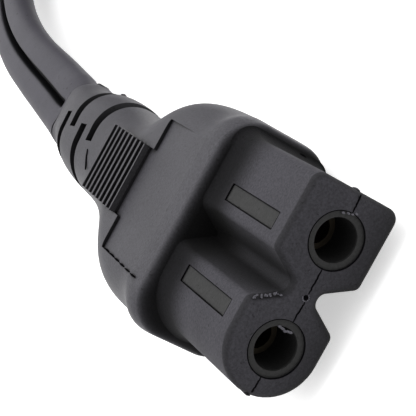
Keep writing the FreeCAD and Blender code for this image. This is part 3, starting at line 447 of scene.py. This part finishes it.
class Pile:
    """Points and faces of one piece, gathered from small shapes."""

    def __init__(self):
        self.points, self.faces = [], []

    def add(self, points, faces):
        base = len(self.points)
        self.points += [(x, y + FACE_Y, z + PARTING_Z) for x, y, z in points]
        self.faces += [tuple(base + i for i in face) for face in faces]

    def sheet(self, rows):
        """Quads between rows of points."""
        wide = len(rows[0])
        faces = [(i * wide + j, i * wide + j + 1, (i + 1) * wide + j + 1, (i + 1) * wide + j)
                 for i in range(len(rows) - 1) for j in range(wide - 1)]
        self.add([p for row in rows for p in row], faces)

    def blob(self, middle, radii, seed):
        """Small uneven lump."""
        rng = random.Random(seed)
        rows = []
        for i in range(BLOB_RINGS):
            polar = math.pi * i / (BLOB_RINGS - 1)
            row = []
            for j in range(BLOB_AROUND):
                turn = 2 * math.pi * j / BLOB_AROUND
                swell = 1 + rng.uniform(-BLOB_UNEVEN, BLOB_UNEVEN)
                row.append((middle[0] + radii[0] * swell * math.sin(polar) * math.cos(turn),
                            middle[1] + radii[1] * swell * math.sin(polar) * math.sin(turn),
                            middle[2] + radii[2] * swell * math.cos(polar)))
            rows.append(row + row[:1])
        self.sheet(rows)

    def ribbon(self, line, width, outward, lift):
        """Narrow closed bar let into a surface along a line, thinner at both ends."""
        line, outward = np.array(line, float), np.array(outward, float)
        aside = np.cross(np.gradient(line, axis=0), outward)
        aside /= np.linalg.norm(aside, axis=1)[:, None]
        taper = np.sin(np.linspace(TAPER_START, math.pi - TAPER_START, len(line))) ** TAPER_POWER
        half = width / 2 * taper
        corners = [(-1, lift), (1, lift), (1, -SUNK), (-1, -SUNK), (-1, lift)]
        rows = [line + outward * height + aside * half[:, None] * reach
                for reach, height in corners]
        self.sheet(rows)
        self.add([rows[i][end] for end in (0, -1) for i in range(4)], [(0, 1, 2, 3), (4, 5, 6, 7)])

    def piece(self, name, material):
        """The gathered shapes as one piece, with points that coincide made one."""
        piece = add_piece(name, self.points, self.faces, material)
        shell = bmesh.new()
        shell.from_mesh(piece.data)
        bmesh.ops.remove_doubles(shell, verts=shell.verts, dist=SAME_POINT * MM)
        bmesh.ops.recalc_face_normals(shell, faces=shell.faces)
        shell.to_mesh(piece.data)
        shell.free()


def wobbly(start, end, count, spread, seed):
    """Points from start to end, slightly out of line across Y."""
    rng = random.Random(seed)
    line = np.linspace(start, end, count)
    return [tuple(c + (rng.uniform(-spread, spread) if axis != 1 else 0)
                  for axis, c in enumerate(p)) for p in line]


# Outline of the nose: corners with their radii, in order round it.
NOSE_TOP = 3.8
NOSE_SQUARE = 8.05
NOSE_ROUND = 8.1
NOTCH_HALF = 1.876
NOTCH_FLOOR = 0.55
SQUARE_RADIUS = 0.9
LIP_RADIUS = 0.6
FLOOR_RADIUS = 0.7
NOSE_CORNERS = [(NOSE_SQUARE, -NOSE_TOP, SQUARE_RADIUS), (NOSE_SQUARE, NOSE_TOP, SQUARE_RADIUS),
                (NOTCH_HALF, NOSE_TOP, LIP_RADIUS), (0, NOTCH_FLOOR, FLOOR_RADIUS),
                (-NOTCH_HALF, NOSE_TOP, LIP_RADIUS), (-NOSE_ROUND, NOSE_TOP, NOSE_TOP),
                (-NOSE_ROUND, -NOSE_TOP, NOSE_TOP), (-NOTCH_HALF, -NOSE_TOP, LIP_RADIUS),
                (0, -NOTCH_FLOOR, FLOOR_RADIUS), (NOTCH_HALF, -NOSE_TOP, LIP_RADIUS)]
HEAD_FRONT = 13.0
FLARE_RUN = 2.3
FLARE_RISE = 0.72
FLARE_SUNK = 0.12
FLARE_EDGE = 0.01
FLARE_POINTS = 13
CORNER_STEPS = 10


def rounded_outline(corners, steps):
    """Points and outward directions round an outline with rounded corners."""
    points, outward = [], []
    count = len(corners)
    for i in range(count):
        before, corner, after = (np.array(corners[(i + k) % count][:2]) for k in (-1, 0, 1))
        radius = corners[i][2]
        arriving = (corner - before) / np.linalg.norm(corner - before)
        leaving = (after - corner) / np.linalg.norm(after - corner)
        turn = math.atan2(arriving[0] * leaving[1] - arriving[1] * leaving[0],
                          float(arriving @ leaving))
        side = math.copysign(1, turn)
        start = corner - arriving * radius * math.tan(abs(turn) / 2)
        middle = start + side * radius * np.array((-arriving[1], arriving[0]))
        right = np.array((arriving[1], -arriving[0]))
        for k in range(steps + 1):
            angle = turn * k / steps
            cos, sin = math.cos(angle), math.sin(angle)
            out = np.array((right[0] * cos - right[1] * sin, right[0] * sin + right[1] * cos))
            points.append(middle + side * radius * out)
            outward.append(out)
    return np.array(points), np.array(outward)


def build_root_flare():
    """Hollow round where the nose runs into the head's front wall."""
    points, outward = rounded_outline(NOSE_CORNERS, CORNER_STEPS)
    profile = [(FLARE_RISE * (1 - math.cos(angle)) - FLARE_EDGE,
                HEAD_FRONT - FLARE_RUN * (1 - math.sin(angle)) + FLARE_SUNK * math.sin(angle))
               for angle in np.radians(np.linspace(0, 90, FLARE_POINTS))]
    profile += [(-FLARE_SUNK, HEAD_FRONT + FLARE_SUNK), (-FLARE_SUNK, HEAD_FRONT - FLARE_RUN)]
    rows = []
    for out, y in profile + profile[:1]:
        row = [(x, y, z) for x, z in points + outward * out]
        rows.append(row + row[:1])
    flare = Pile()
    flare.sheet(rows)
    flare.piece("root_flare", MOULDING)


# Fine dark lines of painted shadow in the grooves, gaps, steps and pits they lie on: where they
# run, how wide they are and how far they stand out.
OUT_OF_FACE = (0, -1, 0)
UPWARD = (0, 0, 1)
FINE_LIFT = 0.012
COARSE_LIFT = 0.03
PARTING_RUNS = [((7.9, 0, 0.08), (6.5, 0, -0.03)), ((2.1, 0, -0.08), (0.1, 0, -0.1)),
                ((-0.5, 0, -0.16), (-2.1, 0, -0.08)), ((-6.5, 0, 0.0), (-7.8, 0, 0.04))]
PARTING_POINTS = 12
PARTING_WOBBLE = 0.03
PARTING_WIDTH = 0.13
NECK_CRACK = [(-0.3, 39.95, 4.34), (-0.6, 39.6, 4.33), (-0.9, 39.35, 4.31),
              (-1.25, 39.0, 4.27), (-1.6, 38.6, 4.24), (-1.95, 38.25, 4.2)]
CRACK_WIDTH = 0.2
PIN_MIDDLE = 4.3
RING_RADIUS = 2.19
RING_POINTS = 49
RING_WIDTH = 0.08
WINDOW_MIDDLE = 3.46
WINDOW_HALF_WIDTH = 0.69
WINDOW_FRONT = 2.15
WINDOW_BACK = 10.65
WINDOW_POINTS = 9
WINDOW_LINE = 0.035
# The panel's border is broken into dashes: where the first and last start, and points along each.
PANEL_BACK = 24.2
PANEL_EDGE = 6.0
PANEL_FLOOR = 4.9
PANEL_RISE = 0.0437
DASH_FIRST, DASH_LAST = 0.6, 8.2
DASHES = 6
DASH_POINTS = (0.0, 0.35, 0.7, 1.05)
DASH_WIDTH = 0.16
PIP = (-0.19, -0.05)
PIP_LIFT = 0.015
PIP_RADII = (0.19, 0.03, 0.19)
HEAD_NICK = (8.4, 12.99, -1.45)
NICK_RADII = (0.22, 0.06, 0.45)


def build_seam():
    """Fine dark lines of painted shadow: parting line, crack, outlines of rings and windows,
    panel's border, pip.
    """
    seam = Pile()
    for seed, (start, end) in enumerate(PARTING_RUNS):
        seam.ribbon(wobbly(start, end, PARTING_POINTS, PARTING_WOBBLE, seed), PARTING_WIDTH,
                    OUT_OF_FACE, FINE_LIFT)
    seam.ribbon(NECK_CRACK, CRACK_WIDTH, UPWARD, COARSE_LIFT)
    for middle in (-PIN_MIDDLE, PIN_MIDDLE):
        turns = np.linspace(0, 2 * math.pi, RING_POINTS)
        ring = [(middle + RING_RADIUS * math.cos(t), 0.0, RING_RADIUS * math.sin(t)) for t in turns]
        seam.ribbon(ring, RING_WIDTH, OUT_OF_FACE, FINE_LIFT)
    for side in (-1, 1):
        edges = [side * WINDOW_MIDDLE + reach for reach in (-WINDOW_HALF_WIDTH, WINDOW_HALF_WIDTH)]
        corners = [(x, y, NOSE_TOP) for x in edges for y in (WINDOW_FRONT, WINDOW_BACK)]
        for start, end in ((0, 1), (2, 3), (0, 2), (1, 3)):
            seam.ribbon(np.linspace(corners[start], corners[end], WINDOW_POINTS), WINDOW_LINE,
                        UPWARD, FINE_LIFT)
    for start in np.linspace(PANEL_BACK - DASH_FIRST, PANEL_BACK - DASH_LAST, DASHES):
        rise = (PANEL_BACK - start) * PANEL_RISE
        seam.ribbon([(-PANEL_EDGE, start - k, PANEL_FLOOR + rise) for k in DASH_POINTS],
                    DASH_WIDTH, UPWARD, COARSE_LIFT)
    seam.blob((PIP[0], -PIP_LIFT, PIP[1]), PIP_RADII, 3)
    seam.blob(HEAD_NICK, NICK_RADII, 5)
    seam.piece("seam_shadow_lines", SEAM_SHADOW)


# Pale flash: places as (x, z) on the mating face, then Y, radii and first seed of each row.
PIP_FLASH_RADIUS = 0.25
PIP_FLASH_ANGLES = (100, 330, 9)
PIP_FLASH = (-0.01, (0.06, 0.05, 0.06), 0)
ROUND_HOLE_BURRS = [(-2.79, 0.56), (-2.83, 0.3), (-2.92, 0.02), (-2.86, -0.2), (-2.83, -0.4)]
ROUND_HOLE_FLASH = (0.12, (0.1, 0.06, 0.17), 20)
SQUARE_HOLE_BURRS = [(6.22, 0.62), (6.36, 0.25), (6.44, -0.1), (6.58, -0.36)]
SQUARE_HOLE_FLASH = (0.02, (0.09, 0.05, 0.14), 40)
MOUTH_START = (-1.75, 3.6)
MOUTH_RUN = (1.05, -1.85)
MOUTH_Y = 0.14
MOUTH_GRAINS = 22
MOUTH_SCATTER = 0.12
GRAIN_SMALL, GRAIN_LARGE = 0.05, 0.1
GRAIN_DEPTH = 0.07
MOUTH_SEED = 7
GRAIN_SEED = 60


def build_flash():
    """Pale flash and burrs of the mould: round the pip, at the holes and on the notch's mouth."""
    flash = Pile()
    round_pip = [(PIP[0] + PIP_FLASH_RADIUS * math.cos(angle),
                  PIP[1] + PIP_FLASH_RADIUS * math.sin(angle))
                 for angle in np.radians(np.linspace(*PIP_FLASH_ANGLES))]
    for places, (y, radii, seed) in ((round_pip, PIP_FLASH), (ROUND_HOLE_BURRS, ROUND_HOLE_FLASH),
                                     (SQUARE_HOLE_BURRS, SQUARE_HOLE_FLASH)):
        for i, (x, z) in enumerate(places):
            flash.blob((x, y, z), radii, seed + i)
    rng = random.Random(MOUTH_SEED)
    for i, share in enumerate(np.linspace(0, 1, MOUTH_GRAINS)):
        x = MOUTH_START[0] + MOUTH_RUN[0] * share + rng.uniform(-MOUTH_SCATTER, MOUTH_SCATTER)
        z = MOUTH_START[1] + MOUTH_RUN[1] * share + rng.uniform(-MOUTH_SCATTER, MOUTH_SCATTER)
        wide, high = (rng.uniform(GRAIN_SMALL, GRAIN_LARGE) for _ in range(2))
        flash.blob((x, MOUTH_Y, z), (wide, GRAIN_DEPTH, high), GRAIN_SEED + i)
    flash.piece("mould_flash", FLASH)


# Stubs of flash on the parting line, at the nose's ends and on the strain relief: place and radii.
STUBS = [((8.04, 0.95, 0.1), (0.14, 0.45, 0.3)), ((-8.06, 0.7, 0.05), (0.14, 0.45, 0.3)),
         ((5.6, 49.4, 0.1), (0.22, 0.5, 0.3))]


def build_stubs():
    """The stubs as one piece."""
    stubs = Pile()
    for seed, (place, radii) in enumerate(STUBS, 1):
        stubs.blob(place, radii, seed)
    stubs.piece("parting_stubs", MOULDING)


build_lead()
build_root_flare()
build_seam()
build_flash()
build_stubs()

# Floor and surround. The surround is bright behind and above, and dim on the camera's side.
# The floor's size and the lamp's are in metres.
WHITE = (1, 1, 1, 1)
FLOOR_HALF = 1.2
PAPER_GRAIN = 30.0
PAPER_SEEN = [(MOTTLE_LOW, 0.97), (MOTTLE_HIGH, 0.99)]
PAPER_LIT = [(MOTTLE_LOW, 0.48), (MOTTLE_HIGH, 0.52)]
PAPER_ROUGH = 0.9
PAPER_GLOW = 0.5
SKY_TOWARDS = (0.6, 1.0, 0.6)
SKY_FADE = (-0.35, 0.55)
SKY_STRENGTH = (0.7, 1.05)
LAMP_AT = (0.02, 0.1, 0.6)
LAMP_SIZE = 0.6
LAMP_POWER = 1.5

floor_mesh = bpy.data.meshes.new("floor")
floor_mesh.from_pydata([(-FLOOR_HALF, -FLOOR_HALF, 0), (FLOOR_HALF, -FLOOR_HALF, 0),
                        (FLOOR_HALF, FLOOR_HALF, 0), (-FLOOR_HALF, FLOOR_HALF, 0)],
                       [], [(0, 1, 2, 3)])
floor = bpy.data.objects.new("floor", floor_mesh)
bpy.context.scene.collection.objects.link(floor)
# White paper where it is seen straight or mirrored, and grey where it lights the part from below.
paper = Shader("paper")
seen_paper = paper.greys(paper.noise(PAPER_GRAIN), PAPER_SEEN)
lit_paper = paper.greys(paper.noise(PAPER_GRAIN), PAPER_LIT)
ray = paper.add("ShaderNodeLightPath").outputs
straight = paper.math("MAXIMUM", ray["Is Glossy Ray"], ray["Is Transmission Ray"])
straight = paper.math("MAXIMUM", ray["Is Camera Ray"], straight)
paper.join(paper.blend(lit_paper, seen_paper, straight), paper.shader.inputs["Base Color"])
paper.shader.inputs["Roughness"].default_value = PAPER_ROUGH
paper.shader.inputs["Specular IOR Level"].default_value = 0.0
paper.shader.inputs["Emission Color"].default_value = WHITE
paper.join(paper.math("MULTIPLY", straight, PAPER_GLOW), paper.shader.inputs["Emission Strength"])
floor_mesh.materials.append(paper.material)

world = bpy.data.worlds.new("surround")
bpy.context.scene.world = world
world.use_nodes = True
background = world.node_tree.nodes["Background"]
background.inputs["Color"].default_value = WHITE
sky = Nodes(world.node_tree)
facing = sky.add("ShaderNodeVectorMath", operation="DOT_PRODUCT")
facing.inputs[1].default_value = SKY_TOWARDS
sky.join(sky.add("ShaderNodeTexCoord").outputs["Generated"], facing.inputs[0])
strength = sky.ease(facing.outputs["Value"], *SKY_FADE, *SKY_STRENGTH)
camera_ray = sky.add("ShaderNodeLightPath").outputs["Is Camera Ray"]
sky.join(sky.math("MAXIMUM", strength, camera_ray), background.inputs["Strength"])

lamp = bpy.data.lights.new("overhead", "AREA")
lamp.size = LAMP_SIZE
lamp.energy = LAMP_POWER
lamp_object = bpy.data.objects.new("overhead", lamp)
lamp_object.location = LAMP_AT
lamp_object.rotation_euler = (-Vector(LAMP_AT)).to_track_quat("-Z", "Y").to_euler()
bpy.context.scene.collection.objects.link(lamp_object)

camera_data = bpy.data.cameras.new("camera")
camera_data.lens = CAMERA_LENS
camera_data.sensor_width = SENSOR
camera_data.clip_start = CAMERA_NEAR * MM
camera = bpy.data.objects.new("camera", camera_data)
axes = Matrix((CAMERA_RIGHT, CAMERA_UP, CAMERA_BACK)).transposed().to_4x4()
axes.translation = Vector(CAMERA_AT) * MM
camera.matrix_world = axes
bpy.context.scene.collection.objects.link(camera)
bpy.context.scene.camera = camera
bpy.context.scene.view_settings.view_transform = "Standard"
